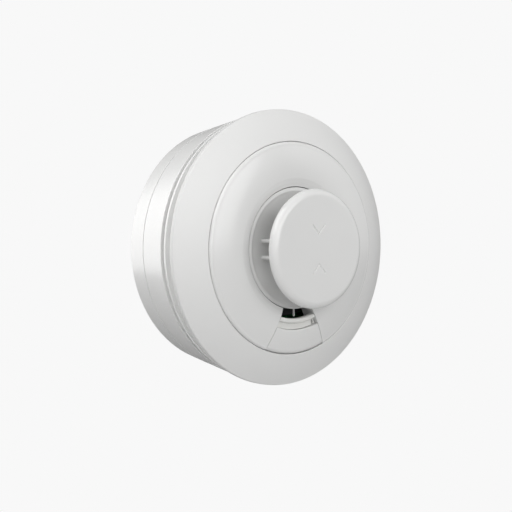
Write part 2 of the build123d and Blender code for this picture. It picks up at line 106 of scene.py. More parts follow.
class DetectorSizes(bpy.types.PropertyGroup):
    seam_rounding: bpy.props.FloatProperty(
        name="Seam rounding", description="Edge radius along the moulding seams",
        default=0.25 * MM, unit="LENGTH")
    mark_depth: bpy.props.FloatProperty(
        name="Mark depth", description="Depth of the two arrow marks on the cap",
        default=0.42 * MM, unit="LENGTH")
    mark_width: bpy.props.FloatProperty(
        name="Mark width", description="Width of the strokes of the arrow marks",
        default=0.85 * MM, unit="LENGTH")


class DetectorColours(bpy.types.PropertyGroup):
    cover: bpy.props.FloatVectorProperty(
        name="Cover", description="Moulded ABS of the front", subtype="COLOR",
        default=linear("#E2E2E1"))
    # the housing colour is paler than the cover's as painted light, which brightens the side wall where the
    # lights from the left fall
    housing: bpy.props.FloatVectorProperty(
        name="Housing", description="Polished ABS of the side wall", subtype="COLOR",
        default=linear("#EFEFEE"))
    backdrop: bpy.props.FloatVectorProperty(
        name="Backdrop", description="Paper of the studio", subtype="COLOR",
        default=linear("#F4F4F4"))


# ---- surfaces -------------------------------------------------------------------------------------
def arc(start, middle, end, steps=12):
    """Points on the circle through three (radius, depth) points, evenly spaced by angle, as square
    corners for rounded(). The centre is where the perpendicular bisectors of the two chords meet."""
    a, b, c = (np.array(point, float) for point in (start, middle, end))
    sides = 2 * np.array([b - a, c - a])
    centre = np.linalg.solve(sides, [b @ b - a @ a, c @ c - a @ a])
    angles = np.unwrap([math.atan2(*(point - centre)[::-1]) for point in (a, b, c)])
    along = np.linspace(angles[0], angles[2], steps + 1)
    reach = np.linalg.norm(a - centre)
    points = centre + reach * np.stack([np.cos(along), np.sin(along)], 1)
    return [(*point, 0) for point in points]


def rounded(corners, steps=6):
    """Closed half section through (radius, depth, rounding) corners. Each corner becomes an arc that
    touches both its sides: its centre lies on the bisector, rounding / sin(half angle) away, and its
    points turn evenly from one touching point to the other. Long sides get a point near each end, so
    that smooth shading stays on the roundings."""
    table = np.array(corners, float)
    at, size = table[:, :2], table[:, 2:]
    back = np.roll(at, 1, 0) - at
    ahead = np.roll(at, -1, 0) - at
    back /= np.linalg.norm(back, axis=1, keepdims=True)
    ahead /= np.linalg.norm(ahead, axis=1, keepdims=True)
    half = np.arccos(np.clip((back * ahead).sum(1, keepdims=True), -1, 1)) / 2
    middle = back + ahead
    middle /= np.maximum(np.linalg.norm(middle, axis=1, keepdims=True), 1e-9)
    centre = at + middle * size / np.sin(half)
    touch = size / np.tan(np.maximum(half, 1e-6))
    first, last = at + back * touch - centre, at + ahead * touch - centre
    turn = np.maximum(math.pi - 2 * half, 1e-6)[:, None]
    share = np.linspace(0, 1, steps + 1)[None, :, None]
    spokes = np.sin((1 - share) * turn) * first[:, None] + np.sin(share * turn) * last[:, None]
    points = (centre[:, None] + spokes / np.sin(turn)).reshape(-1, 2)
    points = points[np.linalg.norm(points - np.roll(points, 1, 0), axis=1) > 1e-4]
    step = np.roll(points, -1, 0) - points
    length = np.linalg.norm(step, axis=1, keepdims=True)
    inset, long_side = 0.12, 1
    margin = inset / np.maximum(length, inset)
    near = np.stack([points, points + step * margin, points + step * (1 - margin)], 1).reshape(-1, 2)
    is_long = length[:, 0] > long_side
    keep = np.stack([np.ones(len(points), bool), is_long, is_long], 1).reshape(-1)
    return near[keep]


def turned(section, centre=(0, 0), start=0, sweep=360, count=FINE):
    """Surface of revolution: the point (r, d) of a closed section at angle t lies at
    x = cx + r cos t, y = -d, z = cz + r sin t. A part turn is closed by its two end sections; its
    start and sweep may be functions of the radius, so that its sides can lean."""
    radius, depth = section.T
    if (radius * np.roll(depth, -1) - np.roll(radius, -1) * depth).sum() < 0:
        radius, depth = radius[::-1], depth[::-1]
    first = start(radius) if callable(start) else np.full(len(radius), start)
    wide = sweep(radius) if callable(sweep) else np.full(len(radius), sweep)
    whole = wide.max() >= 360
    turns = count if whole else max(8, round(count * wide.max() / 360)) + 1
    share = np.linspace(0, 1, turns, endpoint=not whole)
    angles = np.radians(first[:, None] + wide[:, None] * share)
    grid = np.empty((len(radius), turns, 3))
    grid[..., 0] = centre[0] + radius[:, None] * np.cos(angles)
    grid[..., 1] = -depth[:, None]
    grid[..., 2] = centre[1] + radius[:, None] * np.sin(angles)
    number = np.arange(grid[..., 0].size).reshape(len(radius), turns)
    below = np.roll(number, -1, 0)
    left, right = (number, np.roll(number, -1, 1)) if whole else (number[:, :-1], number[:, 1:])
    low_left, low_right = (below, np.roll(below, -1, 1)) if whole else (below[:, :-1], below[:, 1:])
    faces = np.stack([left, right, low_right, low_left], -1).reshape(-1, 4).tolist()
    if not whole:
        faces += [number[:, 0].tolist(), number[::-1, -1].tolist()]
    return grid.reshape(-1, 3), faces


def stadium(length, width, steps=16):
    """Outline of a slot, counterclockwise: two half circles of the width joined by straight sides."""
    side = np.linspace(-math.pi / 2, math.pi / 2, steps)
    right = np.stack([np.cos(side), np.sin(side)], 1) * width / 2 + [(length - width) / 2, 0]
    return np.vstack([right, -right])


def rounded_rectangle(width, height, rounding, steps=5):
    """Outline of a rectangle with quarter circle corners, counterclockwise."""
    quarter = np.linspace(0, math.pi / 2, steps)
    corner = np.stack([np.cos(quarter), np.sin(quarter)], 1) * rounding
    shift = np.array([width / 2 - rounding, height / 2 - rounding])
    turns = [(1, 0, 1, 1), (0, 1, -1, 1), (-1, 0, -1, -1), (0, -1, 1, -1)]
    rows = [corner @ np.array([[c, s], [-s, c]]) + shift * (x, z) for c, s, x, z in turns]
    return np.vstack(rows)


def raised(outline, rows, centre=(0, 0), angle=0):
    """Solid that stands on an outline parallel to the wall. Each row is (depth, scale): the outline at
    that depth, shrunk by the scale. A depth may be a number or a function of the outline's points."""
    turn = math.radians(angle)
    spin = np.array([[math.cos(turn), math.sin(turn)], [-math.sin(turn), math.cos(turn)]])
    rings = []
    for depth, scale in rows:
        flat = outline * scale @ spin + np.array(centre)
        level = depth(flat) if callable(depth) else np.full(len(flat), float(depth))
        rings.append(np.stack([flat[:, 0], -level, flat[:, 1]], 1))
    count = len(outline)
    number = np.arange(len(rings) * count).reshape(len(rings), count)
    following = np.roll(number, -1, 1)
    sides = np.stack([number[:-1], following[:-1], following[1:], number[1:]], -1)
    faces = sides.reshape(-1, 4).tolist()
    faces += [number[0, ::-1].tolist(), number[-1].tolist()]
    return np.vstack(rings), faces


def tube(route, radius, facets=16):
    """Round wire along a route of (x, y, z) points in millimetres: a circle carried along it, in the
    plane across each point's direction, with flat ends."""
    route = np.array(route, float)
    ahead = np.gradient(route, axis=0)
    ahead /= np.linalg.norm(ahead, axis=1, keepdims=True)
    helper = np.array([0.3, 0.2, 1.0]) if abs(ahead[0, 2]) < 0.9 else np.array([1.0, 0.2, 0.3])
    across = np.cross(ahead, helper)
    across /= np.linalg.norm(across, axis=1, keepdims=True)
    upward = np.cross(ahead, across)
    angles = np.linspace(0, 2 * math.pi, facets, endpoint=False)
    ring = across[:, None] * np.cos(angles)[:, None] + upward[:, None] * np.sin(angles)[:, None]
    grid = route[:, None] + radius * ring
    number = np.arange(len(route) * facets).reshape(len(route), facets)
    following = np.roll(number, -1, 1)
    sides = np.stack([number[:-1], following[:-1], following[1:], number[1:]], -1)
    faces = sides.reshape(-1, 4).tolist()
    faces += [number[0, ::-1].tolist(), number[-1].tolist()]
    return grid.reshape(-1, 3), faces


def mesh_piece(name, shells, material, body, nodes=()):
    """Joins shells given in millimetres into one object at the origin, merges the doubled points of
    poles and seams, shades it smooth up to an angle, and puts it on its body in place of its CAD nodes."""
    smooth_angle, merge_distance = math.radians(40), 1e-7
    vertices = np.vstack([points for points, _ in shells]) * MM
    faces, first = [], 0
    for points, loops in shells:
        faces += [[corner + first for corner in loop] for loop in loops]
        first += len(points)
    mesh = bpy.data.meshes.new(name)
    mesh.from_pydata(vertices, [], faces)
    piece = bpy.data.objects.new(name, mesh)
    bpy.context.scene.collection.objects.link(piece)
    work = bmesh.new()
    work.from_mesh(mesh)
    bmesh.ops.remove_doubles(work, verts=work.verts, dist=merge_distance)
    work.to_mesh(mesh)
    work.free()
    mesh.polygons.foreach_set("use_smooth", np.ones(len(mesh.polygons), bool))
    mesh.set_sharp_from_angle(angle=smooth_angle)
    mesh.materials.append(material)
    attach(piece, body)
    if nodes:
        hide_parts(*nodes)


# ---- shared outlines ------------------------------------------------------------------------------
def key_half_angle(radius, margin=0):
    """Angle from the key's middle line to its side at each radius, by the law of sines in the triangle
    of the centre, the sides' common point and the point on the side. The margin moves the side out."""
    lean = math.radians(KEY_SIDE_ANGLE)
    apex = KEY_APEX - margin / math.sin(lean)
    return KEY_SIDE_ANGLE - np.degrees(np.arcsin(apex * math.sin(lean) / np.maximum(radius, KEY_APEX)))


def key_turned(section, margin):
    """Part turn that fills the key's place between its two sides, each moved out by the margin."""
    return turned(section, start=lambda radius: KEY_ANGLE - key_half_angle(radius, margin),
                  sweep=lambda radius: 2 * key_half_angle(radius, margin), count=2 * FINE)


def side_radius(depth):
    """Radius of the tapered side wall: a straight line from the back edge to the housing's front."""
    return BACK_RADIUS + (HOUSING_RADIUS - BACK_RADIUS) * depth / HOUSING_FRONT


# the inner cover from its seam over the shoulder to its rounded crest
SHOULDER_TOP, CREST_ROUNDING = (46.6, 48.95), 1.5
COVER_SHOULDER = arc((SEAM_RADIUS, 47.4), (SEAM_RADIUS - 0.35, 48.45), SHOULDER_TOP, 8)
COVER_DOME = arc(SHOULDER_TOP, (39.2, 50.6), (31.6, CREST_DEPTH - 0.02), 24)
COVER_DOME[-1] = (*COVER_DOME[-1][:2], CREST_ROUNDING)
BOWL_RIM = [(27.52, 50.08, 0.1), (26.0, 50.15, 0.9)]
BOWL_SLOPE = arc((24.6, 49.35), (17.6, 47.0), (8.0, 46.0), 16)


def bowl_depth(points):
    """Depth of the bowl's surface below (x, z) points, read from its half section by radius."""
    slope = np.array(BOWL_SLOPE)[::-1, :2]
    return np.interp(np.hypot(*points.T), slope[:, 0], slope[:, 1])


# ---- materials ------------------------------------------------------------------------------------
def add_node(tree, kind, settings=None, values=None, links=None):
    """Adds a shader node, sets its properties and socket values, and links its inputs."""
    node = tree.nodes.new(kind)
    for key, value in (settings or {}).items():
        setattr(node, key, value)
    for key, value in (values or {}).items():
        node.inputs[key].default_value = value
    for key, socket in (links or {}).items():
        tree.links.new(socket, node.inputs[key])
    return node


def new_material(name, shader_values):
    """An empty material with one Principled shader. Returns it with its tree and shader."""
    material = bpy.data.materials.new(name)
    material.use_nodes = True
    tree = material.node_tree
    tree.nodes.clear()
    shader = add_node(tree, "ShaderNodeBsdfPrincipled", values=shader_values)
    add_node(tree, "ShaderNodeOutputMaterial", links={"Surface": shader.outputs["BSDF"]})
    return material, tree, shader


def moulded_plastic(name, colour, roughness, ior, grain, grain_height, mottle=0.012, extra=None):
    """Injection moulded plastic. A spark-eroded tool leaves an even grain, given here as its size and
    height in metres, which changes the gloss. Flow and cooling leave broad, faint changes of tone."""
    material, tree, shader = new_material(name, {"IOR": ior, **(extra or {})})
    place = add_node(tree, "ShaderNodeTexCoord").outputs["Object"]
    flow_marks = 22 * MM
    broad = add_node(tree, "ShaderNodeTexNoise", values={"Scale": 1 / flow_marks, "Detail": 2.0},
                     links={"Vector": place})
    fine = add_node(tree, "ShaderNodeTexNoise", values={"Scale": 1 / grain, "Detail": 3.0},
                    links={"Vector": place})
    tone = add_node(tree, "ShaderNodeMix", {"data_type": "RGBA"},
                    {COLOUR_A: (*[part * (1 - mottle) for part in colour], 1),
                     COLOUR_B: (*[min(1, part * (1 + mottle)) for part in colour], 1)},
                    {"Factor": broad.outputs["Fac"]})
    tree.links.new(tone.outputs[COLOUR_OUT], shader.inputs["Base Color"])
    gloss = add_node(tree, "ShaderNodeMapRange",
                     values={"To Min": roughness * 0.9, "To Max": roughness * 1.12},
                     links={"Value": fine.outputs["Fac"]})
    tree.links.new(gloss.outputs["Result"], shader.inputs["Roughness"])
    bump = add_node(tree, "ShaderNodeBump", values={"Strength": 1.0, "Distance": grain_height},
                    links={"Height": fine.outputs["Fac"]})
    tree.links.new(bump.outputs["Normal"], shader.inputs["Normal"])
    return material


def cover_abs(colour):
    """Moulded ABS of the front covers and the cap, satin: a broad, soft highlight with an edge."""
    return moulded_plastic("moulded_abs_satin", colour, 0.2, 1.53, 0.5 * MM, 0.002 * MM)


def ring_abs(colour):
    """Moulded ABS of the front cover from an etched tool: the fine texture spreads its highlights."""
    return moulded_plastic("moulded_abs_matt", colour, 0.45, 1.53, 0.4 * MM, 0.003 * MM)


def housing_abs_painted_bright(colour):
    """Moulded ABS of the side wall from a polished tool: sharper reflections. Its colour is paler than the
    cover's as painted light, which brightens the side wall where the lights from the left fall.
    """
    return moulded_plastic("moulded_abs_polished_painted_bright", colour, 0.26, 1.53, 0.6 * MM, 0.002 * MM)


def diffusing_acrylic():
    """White diffusing acrylic of the light guide: light enters and spreads about a millimetre."""
    return moulded_plastic("diffusing_acrylic", linear("#E9E9E6"), 0.18, 1.49, 0.6 * MM, 0.002 * MM,
                           extra={"Subsurface Weight": 0.3, "Subsurface Radius": (1, 1, 1),
                                  "Subsurface Scale": 1.2 * MM})


def black_abs():
    """Black moulded ABS of the chamber: a coarse anti-glare grain scatters what light gets in."""
    return moulded_plastic("black_moulded_abs", linear("#060607"), 0.6, 1.53, 0.4 * MM, 0.03 * MM)


def grey_nylon():
    """Grey moulded nylon of the battery holder and plungers: dull with a waxy sheen."""
    return moulded_plastic("grey_moulded_nylon", linear("#8D9093"), 0.42, 1.53, 0.5 * MM, 0.01 * MM)


def epoxy_coating():
    """Dipped epoxy over the thermistor bead: a smooth dark drop."""
    return moulded_plastic("dipped_epoxy", linear("#16120F"), 0.16, 1.55, 0.8 * MM, 0.01 * MM)


def chip_epoxy():
    """Moulded chip package: matt near-black epoxy with silica filler."""
    return moulded_plastic("moulded_chip_epoxy", linear("#1B1B1D"), 0.6, 1.55, 0.3 * MM, 0.01 * MM)


def capacitor_sleeve():
    """Shrunk dark sleeve on a capacitor can: smooth and shiny."""
    return moulded_plastic("shrunk_pet_sleeve", linear("#14181F"), 0.22, 1.57, 0.9 * MM, 0.004 * MM)


def led_epoxy():
    """Clear red cast epoxy of the LED."""
    return moulded_plastic("cast_red_epoxy", linear("#A5150F"), 0.08, 1.55, 0.9 * MM, 0.002 * MM,
                           extra={"Transmission Weight": 0.5})


def solder_mask():
    """Green solder mask over copper: raised tracks about 0.4 mm wide show as paler lines."""
    material, tree, shader = new_material("solder_mask", {"IOR": 1.55, "Roughness": 0.3})
    place = add_node(tree, "ShaderNodeTexCoord").outputs["Object"]
    track_spacing = 6 * MM
    cells = add_node(tree, "ShaderNodeTexVoronoi",
                     {"feature": "DISTANCE_TO_EDGE", "distance": "EUCLIDEAN"},
                     {"Scale": 1 / track_spacing}, {"Vector": place})
    track = add_node(tree, "ShaderNodeMapRange", values={"From Min": 0.03, "From Max": 0.07},
                     links={"Value": cells.outputs["Distance"]})
    tone = add_node(tree, "ShaderNodeMix", {"data_type": "RGBA"},
                    {COLOUR_A: (*linear("#2F8A4A"), 1), COLOUR_B: (*linear("#135C2C"), 1)},
                    {"Factor": track.outputs["Result"]})
    bump = add_node(tree, "ShaderNodeBump", {"invert": True}, {"Strength": 1.0, "Distance": 0.035 * MM},
                    {"Height": track.outputs["Result"]})
    tree.links.new(tone.outputs[COLOUR_OUT], shader.inputs["Base Color"])
    tree.links.new(bump.outputs["Normal"], shader.inputs["Normal"])
    return material


def plated_metal(name, hex_colour, roughness, grain, stretch=(1, 1, 1)):
    """Plated or rolled metal: the roughness changes with a grain, drawn out along one axis if rolled."""
    material, tree, shader = new_material(
        name, {"Metallic": 1.0, "Base Color": (*linear(hex_colour), 1)})
    place = add_node(tree, "ShaderNodeTexCoord").outputs["Object"]
    drawn = add_node(tree, "ShaderNodeMapping", values={"Scale": stretch}, links={"Vector": place})
    noise = add_node(tree, "ShaderNodeTexNoise", values={"Scale": 1 / grain, "Detail": 4.0},
                     links={"Vector": drawn.outputs["Vector"]})
    gloss = add_node(tree, "ShaderNodeMapRange",
                     values={"To Min": roughness * 0.7, "To Max": roughness * 1.4},
                     links={"Value": noise.outputs["Fac"]})
    bump = add_node(tree, "ShaderNodeBump", values={"Strength": 1.0, "Distance": 0.004 * MM},
                    links={"Height": noise.outputs["Fac"]})
    tree.links.new(gloss.outputs["Result"], shader.inputs["Roughness"])
    tree.links.new(bump.outputs["Normal"], shader.inputs["Normal"])
    return material


def cell_jacket():
    """Jacket of an AA cell: dark body with a pale band round one end, in gloss lacquer."""
    material, tree, shader = new_material("lacquered_cell_jacket", {"IOR": 1.5, "Roughness": 0.2})
    place = add_node(tree, "ShaderNodeTexCoord").outputs["Object"]
    axes = add_node(tree, "ShaderNodeSeparateXYZ", links={"Vector": place})
    band_start, speckle_size = 14 * MM, 0.5 * MM
    band = add_node(tree, "ShaderNodeMath", {"operation": "GREATER_THAN"}, {1: band_start},
                    {0: axes.outputs["X"]})
    speckle = add_node(tree, "ShaderNodeTexNoise", values={"Scale": 1 / speckle_size},
                       links={"Vector": place})
    tone = add_node(tree, "ShaderNodeMix", {"data_type": "RGBA"},
                    {COLOUR_A: (*linear("#23272E"), 1), COLOUR_B: (*linear("#C9CCD1"), 1)},
                    {"Factor": band.outputs["Value"]})
    bump = add_node(tree, "ShaderNodeBump", values={"Strength": 1.0, "Distance": 0.003 * MM},
                    links={"Height": speckle.outputs["Fac"]})
    tree.links.new(tone.outputs[COLOUR_OUT], shader.inputs["Base Color"])
    tree.links.new(bump.outputs["Normal"], shader.inputs["Normal"])
    return material


def backdrop_paper(colour):
    """Matt studio paper, evenly pale."""
    material, tree, shader = new_material("studio_paper", {"Roughness": 0.9})
    place = add_node(tree, "ShaderNodeTexCoord").outputs["Object"]
    fibre_size = 2 * MM
    fibre = add_node(tree, "ShaderNodeTexNoise", values={"Scale": 1 / fibre_size}, links={"Vector": place})
    tone = add_node(tree, "ShaderNodeMix", {"data_type": "RGBA"},
                    {COLOUR_A: (*[part * 0.99 for part in colour], 1), COLOUR_B: (*colour, 1)},
                    {"Factor": fibre.outputs["Fac"]})
    tree.links.new(tone.outputs[COLOUR_OUT], shader.inputs["Base Color"])
    return material


MADE = {}


def shared_material(make, *arguments):
    """One copy of each material, however many pieces ask for it."""
    key = make.__name__ + str(arguments)
    if key not in MADE:
        MADE[key] = make(*arguments)
    return MADE[key]


def cover_finish(context):
    return shared_material(cover_abs, tuple(context.scene.detector_colours.cover))


def ring_finish(context):
    return shared_material(ring_abs, tuple(context.scene.detector_colours.cover))


# the housing finish carries the painted brightness of the side wall: its colour is paler than the cover's
def housing_finish_painted_bright(context):
    return shared_material(housing_abs_painted_bright, tuple(context.scene.detector_colours.housing))


# ---- operators ------------------------------------------------------------------------------------
class DETECTOR_OT_base(bpy.types.Operator):
    """Mounting base: a plate with two slots, a turned side wall and the bayonet's ledges"""
    bl_idname = "detector.base"
    bl_label = "Mounting base"

    def execute(self, context):
        soft = context.scene.detector_sizes.seam_rounding / MM
        plate_radius = 50.0
        shells = [turned(rounded([
            (plate_radius, 0, 0), (side_radius(0), 0, 0.5), (BASE_RADIUS, BASE_FRONT, 0.08),
            (BASE_RADIUS - WALL, BASE_FRONT, soft), (side_radius(PLATE) - WALL, PLATE, 0.6),
            (plate_radius, PLATE, 0)]))]
        ledge_back, ledge_front, ledge_radius, inside_wall = 9.2, 11.0, 51.2, 1.4
        ledge_half_angle, stop_angle = 9, 3
        wall_at_front = (side_radius(ledge_front) - inside_wall, ledge_front, 0)
        ledge = rounded([(ledge_radius, ledge_back, 0.2), (ledge_radius, ledge_front, 0.2), wall_at_front,
                         (side_radius(ledge_back) - inside_wall, ledge_back, 0)])
        stop = rounded([(ledge_radius, PLATE, 0.2), (ledge_radius, ledge_front, 0.2), wall_at_front,
                        (side_radius(PLATE) - inside_wall, PLATE, 0)])
        for centre in BAYONET_ANGLES:
            start = centre - ledge_half_angle
            shells += [turned(ledge, start=start, sweep=2 * ledge_half_angle),
                       turned(stop, start=start - stop_angle, sweep=stop_angle)]
        finish = housing_finish_painted_bright(context)
        mesh_piece("base_tray", shells, finish, "base", ("mounting_base",))
        mesh_piece("base_plate", [slotted_plate(plate_radius, PLATE, soft)], finish, "base")
        return {"FINISHED"}


def slotted_plate(radius, thickness, rounding):
    """Disc with two screw slots. Each half of the disc is a grid of angles round its slot and shares of
    the way from the slot's outline to the half disc's. The left half mirrors the right one."""
    slot_x, slot_length, slot_width = 38.0, 9.0, 4.4
    count = 128
    angles = np.linspace(-math.pi, math.pi, count, endpoint=False)
    corner = math.atan2(radius, -slot_x)
    for place in (corner, -corner):
        angles[np.abs(angles - place).argmin()] = place
    outward = np.stack([np.cos(angles), np.sin(angles)], 1)
    half_straight = (slot_length - slot_width) / 2
    spread = np.clip(outward[:, 0] * 9, -1, 1) * half_straight
    inner = outward * slot_width / 2 + np.stack([spread, np.zeros(count)], 1)
    # the half disc's edge is the nearer of the circle and the line x = 0
    along = outward[:, 0] * slot_x
    to_circle = -along + np.sqrt(along ** 2 + radius ** 2 - slot_x ** 2)
    with np.errstate(divide="ignore"):
        to_line = np.where(outward[:, 0] < -1e-9, slot_x / -outward[:, 0], np.inf)
    outer = outward * np.minimum(to_circle, to_line)[:, None]
    face = [inner + outward * rounding + (outer - inner) * share for share in (0, 0.15, 0.4, 0.7)]
    face.append(outer)
    rings = [(ring, 0.0) for ring in face[::-1]]
    rings += [(inner, rounding), (inner, thickness - rounding)]
    rings += [(ring, thickness) for ring in face]
    flat = np.array([ring for ring, _ in rings])
    depth = np.array([level for _, level in rings])
    grid = np.empty((*flat.shape[:2], 3))
    grid[..., 0] = flat[..., 0] + slot_x
    grid[..., 1] = -depth[:, None]
    grid[..., 2] = flat[..., 1]
    number = np.arange(grid[..., 0].size).reshape(len(rings), count)
    following = np.roll(number, -1, 1)
    faces = np.stack([number[:-1], number[1:], following[1:], following[:-1]], -1).reshape(-1, 4)
    mirror = grid.reshape(-1, 3) * (-1, 1, 1)
    twin = faces[:, ::-1] + number.size
    return np.vstack([grid.reshape(-1, 3), mirror]), faces.tolist() + twin.tolist()


class DETECTOR_OT_housing(bpy.types.Operator):
    """Rear housing and middle frame: the tapered side wall, the grooves and the thin flange"""
    bl_idname = "detector.housing"
    bl_label = "Rear housing"

    def execute(self, context):
        head_back, floor_back, floor_front = 12.7, 24.4, 26.4
        spigot = 50.2
        shoulder = head_back + 2
        # the floor has an opening round the tamper plunger's stem
        stem_half = 1.95
        stem_inner, stem_outer = TAMPER_Z - stem_half, TAMPER_Z + stem_half
        stem_angle = math.degrees(math.asin(stem_half / TAMPER_Z))
        section = rounded([
            (spigot, SPIGOT_BACK, 0.3), (spigot, head_back, 0.3),
            (side_radius(head_back), head_back, 0.08), (HOUSING_RADIUS, HOUSING_FRONT, 0.15),
            (HOUSING_RADIUS - WALL, HOUSING_FRONT, 0.15), (side_radius(floor_front) - WALL, floor_front, 0),
            (stem_outer, floor_front, 0), (stem_outer, floor_back, 0),
            (side_radius(floor_back) - WALL, floor_back, 0), (side_radius(shoulder) - WALL, shoulder, 0),
            (spigot - WALL, shoulder, 0), (spigot - WALL, SPIGOT_BACK, 0.3)])
        middle = rounded([(0, floor_back, 0), (stem_inner, floor_back, 0), (stem_inner, floor_front, 0),
                          (0, floor_front, 0)])
        around = rounded([(stem_inner, floor_back, 0), (stem_outer, floor_back, 0),
                          (stem_outer, floor_front, 0), (stem_inner, floor_front, 0)])
        shells = [turned(section), turned(middle),
                  turned(around, start=90 + stem_angle, sweep=360 - 2 * stem_angle)]
        lug_radius, lug_back, lug_front, lug_half_angle, into_floor = 53.0, 6.2, 8.6, 8, 0.2
        lug = rounded([(spigot - 1, lug_back, 0), (lug_radius, lug_back, 0.3),
                       (lug_radius, lug_front, 0.3), (spigot - 1, lug_front, 0)])
        for centre in BAYONET_ANGLES:
            shells.append(turned(lug, start=centre - lug_half_angle, sweep=2 * lug_half_angle))
        guide = rounded([(3.4, 10, 0.2), (4.6, 10, 0.2), (4.6, floor_back + into_floor, 0),
                         (3.4, floor_back + into_floor, 0)])
        shells.append(turned(guide, (0, TAMPER_Z), count=COARSE))
        boss_circle, boss_inner, boss_outer, boss_top = 42, 1.2, 3.2, 29.65
        boss = rounded([(boss_inner, floor_front - into_floor, 0), (boss_outer, floor_front - into_floor, 0),
                        (boss_outer, boss_top, 0.2), (boss_inner, boss_top, 0.1)])
        for angle in np.radians((135, 225, 335)):
            place = (boss_circle * math.cos(angle), boss_circle * math.sin(angle))
            shells.append(turned(boss, place, count=COARSE))
        mesh_piece("rear_shell", shells, housing_finish_painted_bright(context), "head", ("rear_housing",))

        neck, slim_neck, inside, within_cad = 58.5, 57.4, 56.0, 0.02
        flange_back, flange_front = 32.3, 33.5
        board_ledge, ledge_back, ledge_front = 49.5, 28.1, 29.6
        frame_section = rounded([
            (inside, FRAME_BACK + 0.1, 0), (slim_neck, FRAME_BACK + 0.1, 0), (slim_neck, flange_back, 0.1),
            (FLANGE_RADIUS, flange_back, 0.15), (FLANGE_RADIUS, flange_front, 0.15),
            (neck, flange_front, 0.2), (neck, FRAME_FRONT - within_cad, 0.2),
            (inside, FRAME_FRONT - within_cad, 0.2), (inside, ledge_front, 0),
            (board_ledge, ledge_front, 0.2), (board_ledge, ledge_back, 0.2), (inside, ledge_back, 0)])
        mesh_piece("neck_frame", [turned(frame_section)], housing_finish_painted_bright(context), "head",
                   ("middle_frame",))
        return {"FINISHED"}


class DETECTOR_OT_covers(bpy.types.Operator):
    """Front cover and inner cover: two domed rings with a rounded seam between them"""
    bl_idname = "detector.covers"
    bl_label = "Covers"

    def execute(self, context):
        soft = context.scene.detector_sizes.seam_rounding / MM
        seam, rim_back = SEAM_RADIUS + 0.22, 39.1
        rim_front = (62.35, 41.35)
        edge = arc((RIM_RADIUS - 0.01, RIM_DEPTH), (62.83, 41.0), rim_front, 8)
        dome = arc(rim_front, (55.6, 45.1), (seam + soft, SEAM_DEPTH - 0.1), 24)
        section = rounded([
            (58.8, rim_back, 0.2), (RIM_RADIUS - 0.02, rim_back, 0.15), *edge, *dome[1:],
            (seam, SEAM_DEPTH - 0.25, 0), (seam, 45.6, 0), (45.8, 45.6, 0), (45.8, 44.2, 0),
            (51.5, 44.2, 0), (54.0, 43.6, 0), (54.0, 31.6, 0.2), (55.6, 31.6, 0.2), (55.6, 42.9, 0),
            (58.8, 41.4, 0)])
        mesh_piece("front_ring", [turned(section)], ring_finish(context), "head", ("front_cover",))

        inner = 27.88
        section = rounded([
            *COVER_SHOULDER, *COVER_DOME[1:], (29.75, 50.8, 1.5), (inner, 50.33, 0.1),
            (inner, COLLAR_BACK, 0.1), (29.3, COLLAR_BACK, 0.1), (29.3, 48.4, 0), (31.6, 49.2, 0),
            (39.2, 48.7, 0), (45.9, 47.2, 0), (45.9, 45.7, 0), (SEAM_RADIUS, 45.7, 0)])
        shells = [turned(section, start=lambda radius: KEY_ANGLE + key_half_angle(radius),
                         sweep=lambda radius: 360 - 2 * key_half_angle(radius))]
        # a wall stands on each side of the key's place
        wall = rounded([(28.3, 43.2, 0.1), (28.3, 48.9, 0), (31.4, 50.0, 0), (39.2, 49.6, 0),
                        (46.0, 48.0, 0), (47.9, 46.9, 0), (47.9, 43.2, 0.1)])
        near, far = 0.02, 1.68
        for side in (-1, 1):
            shells.append(turned(
                wall, start=lambda radius: KEY_ANGLE + side * key_half_angle(radius, near),
                sweep=lambda radius: side * (key_half_angle(radius, far) - key_half_angle(radius, near)),
                count=COARSE))
        # the stub of the moulding gate near the crest
        gate_back, gate_place = 50.95, (-4.9, 32.4)
        gate = rounded([(0, gate_back, 0), (0.55, gate_back, 0), (0.4, CREST_DEPTH - 0.02, 0.1),
                        (0, CREST_DEPTH - 0.05, 0)])
        shells.append(turned(gate, gate_place, count=24))
        mesh_piece("inner_ring", shells, cover_finish(context), "head", ("inner_cover",))
        return {"FINISHED"}


